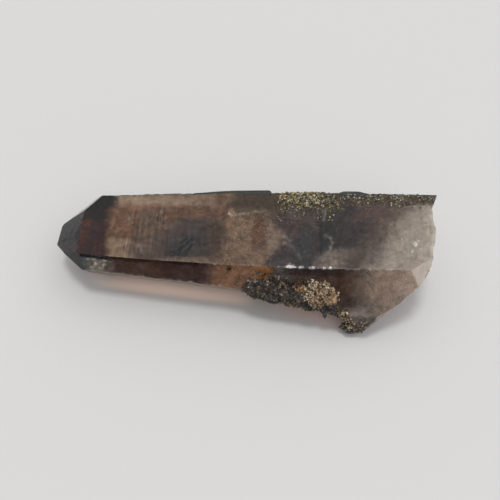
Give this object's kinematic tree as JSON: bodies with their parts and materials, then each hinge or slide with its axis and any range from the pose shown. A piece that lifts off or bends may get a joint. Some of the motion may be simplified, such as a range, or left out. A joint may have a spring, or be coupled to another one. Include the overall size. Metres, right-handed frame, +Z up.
{
  "type": "smoky quartz crystal",
  "caption": "Single-terminated smoky quartz crystal with a broken milky root and mineral crusts, lying on a prism face.",
  "frame": {"origin": "on the surface the crystal lies on, under the middle of its bounding box", "axes": "+X along the crystal's long axis from the point towards the broken root, +Z up, away from the prism face it lies on"},
  "size_m": [0.1182, 0.0456, 0.0246],
  "materials": {
    "smoky_quartz": "glossy, see-through smoky brown, milky at the root",
    "golden_mica": "sparkling scaly grains",
    "tan_feldspar": "matt cream and tan grains",
    "dark_minerals": "dark green-black glossy grains"
  },
  "bodies": {
    "root": {"quartz_crystal": "smoky_quartz", "mica_crust": "golden_mica", "tan_grain_crust": "tan_feldspar", "dark_grain_crust": "dark_minerals"}
  },
  "joints": []
}
